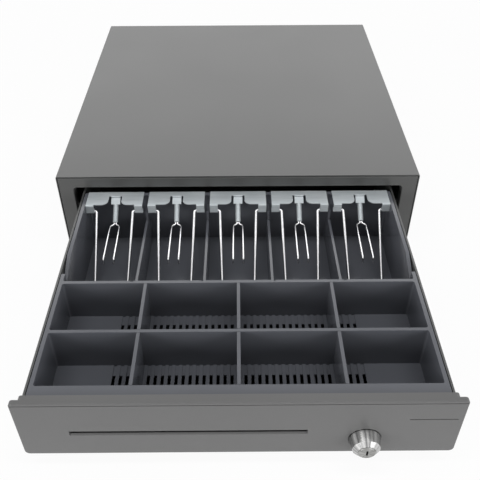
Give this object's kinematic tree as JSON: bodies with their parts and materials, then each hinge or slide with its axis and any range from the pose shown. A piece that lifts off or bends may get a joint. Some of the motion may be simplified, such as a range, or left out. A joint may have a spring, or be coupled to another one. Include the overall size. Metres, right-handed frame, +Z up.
{
  "type": "cash drawer",
  "caption": "Steel cash drawer standing open, with a lift-out till of coin cups and bill compartments, wire bill clips, a key lock and a media slot.",
  "frame": {"origin": "on the counter, under the middle of the box that the opened drawer and its case fill", "axes": "+Z up, the drawer opens towards -Y, +X to the right of someone who faces the drawer"},
  "size_m": [0.41, 0.7226, 0.106],
  "materials": {
    "case_paint": "fine textured dark grey powder coat",
    "panel_plastic": "fine grained dark grey moulding",
    "till_plastic": "satin charcoal moulding",
    "clip_steel": "plain zinc-plated sheet",
    "wire_chrome": "bright plated spring wire",
    "lock_chrome": "turned and plated metal",
    "zinc_steel": "zinc-plated sheet",
    "bright_steel": "bright plated steel",
    "black_rubber": "matte black rubber",
    "jack_plastic": "black moulding",
    "coil_tape": "taped winding"
  },
  "bodies": {
    "case": {"case_cover": "case_paint", "base_pan": "case_paint", "front_frame": "case_paint", "case_screws": "bright_steel", "rubber_feet": "black_rubber", "foot_screws": "bright_steel", "cable_jack": "jack_plastic", "stop_bumpers": "black_rubber", "lock_keeper": "zinc_steel", "latch_bracket": "zinc_steel", "latch_pivot_pin": "bright_steel", "latch_spring": "bright_steel", "solenoid_frame": "zinc_steel", "solenoid_coil": "coil_tape", "eject_spring_guide": "zinc_steel", "eject_spring": "bright_steel", "status_switch": "jack_plastic", "rail_support_left": "zinc_steel", "rail_support_right": "zinc_steel", "rail_outer_left": "zinc_steel", "rail_outer_right": "zinc_steel"},
    "latch": {"latch_lever": "zinc_steel"},
    "plunger": {"solenoid_plunger": "bright_steel"},
    "cage_left": {"ball_cage_left": "zinc_steel", "slide_balls_left": "bright_steel"},
    "cage_right": {"ball_cage_right": "zinc_steel", "slide_balls_right": "bright_steel"},
    "drawer": {"drawer_tray": "case_paint", "striker": "zinc_steel", "front_panel": "panel_plastic", "panel_screws": "bright_steel", "lock_housing": "lock_chrome", "lock_nut": "bright_steel", "rail_inner_left": "zinc_steel", "rail_inner_right": "zinc_steel"},
    "lock": {"lock_plug": "lock_chrome", "lock_cam": "bright_steel"},
    "till": {"till_tray": "till_plastic", "coin_dividers_front": "till_plastic", "coin_dividers_rear": "till_plastic", "bill_divider_1": "till_plastic", "bill_divider_2": "till_plastic", "bill_divider_3": "till_plastic", "bill_divider_4": "till_plastic", "clip_plate_1": "clip_steel", "clip_plate_2": "clip_steel", "clip_plate_3": "clip_steel", "clip_plate_4": "clip_steel", "clip_plate_5": "clip_steel", "bill_fork_1": "wire_chrome", "bill_fork_2": "wire_chrome", "bill_fork_3": "wire_chrome", "bill_fork_4": "wire_chrome", "bill_fork_5": "wire_chrome"},
    "bail_1": {"bill_bail_1": "wire_chrome"},
    "bail_2": {"bill_bail_2": "wire_chrome"},
    "bail_3": {"bill_bail_3": "wire_chrome"},
    "bail_4": {"bill_bail_4": "wire_chrome"},
    "bail_5": {"bill_bail_5": "wire_chrome"}
  },
  "joints": [
    {"name": "drawer_slide", "type": "slide", "parent": "case", "child": "drawer", "axis": [0, -1, 0], "range_m": [-0.2868, 0], "deforming": ["eject_spring"]},
    {"name": "cage_left_slide", "type": "slide", "parent": "case", "child": "cage_left", "axis": [0, -1, 0], "range_m": [-0.1435, 0]},
    {"name": "cage_right_slide", "type": "slide", "parent": "case", "child": "cage_right", "axis": [0, -1, 0], "range_m": [-0.1435, 0]},
    {"name": "latch_turn", "type": "hinge", "parent": "case", "child": "latch", "pos_m": [0.008, 0.3313, 0.0266], "axis": [0, 0, 1], "range_deg": [-20.01, 0], "deforming": ["latch_spring"]},
    {"name": "plunger_slide", "type": "slide", "parent": "case", "child": "plunger", "axis": [1, 0, 0], "range_m": [0, 0.00454]},
    {"name": "lock_turn", "type": "hinge", "parent": "drawer", "child": "lock", "pos_m": [0.106, -0.3473, 0.0375], "axis": [0, 1, 0], "range_deg": [0, 90]},
    {"name": "till_lift", "type": "slide", "parent": "drawer", "child": "till", "axis": [0, 0, 1], "range_m": [0, 0.09]},
    {"name": "bail_1_lift", "type": "hinge", "parent": "till", "child": "bail_1", "pos_m": [-0.138, -0.0855, 0.077], "axis": [-1, 0, 0], "range_deg": [0, 80]},
    {"name": "bail_2_lift", "type": "hinge", "parent": "till", "child": "bail_2", "pos_m": [-0.069, -0.0855, 0.077], "axis": [-1, 0, 0], "range_deg": [0, 80]},
    {"name": "bail_3_lift", "type": "hinge", "parent": "till", "child": "bail_3", "pos_m": [0, -0.0855, 0.077], "axis": [-1, 0, 0], "range_deg": [0, 80]},
    {"name": "bail_4_lift", "type": "hinge", "parent": "till", "child": "bail_4", "pos_m": [0.069, -0.0855, 0.077], "axis": [-1, 0, 0], "range_deg": [0, 80]},
    {"name": "bail_5_lift", "type": "hinge", "parent": "till", "child": "bail_5", "pos_m": [0.138, -0.0855, 0.077], "axis": [-1, 0, 0], "range_deg": [0, 80]}
  ],
  "couplings": [
    {"joint": "cage_left_slide", "follows": "drawer_slide", "ratio": 0.5},
    {"joint": "cage_right_slide", "follows": "drawer_slide", "ratio": 0.5},
    {"joint": "latch_turn", "follows": "plunger_slide", "rad_per_m": -76.923}
  ]
}
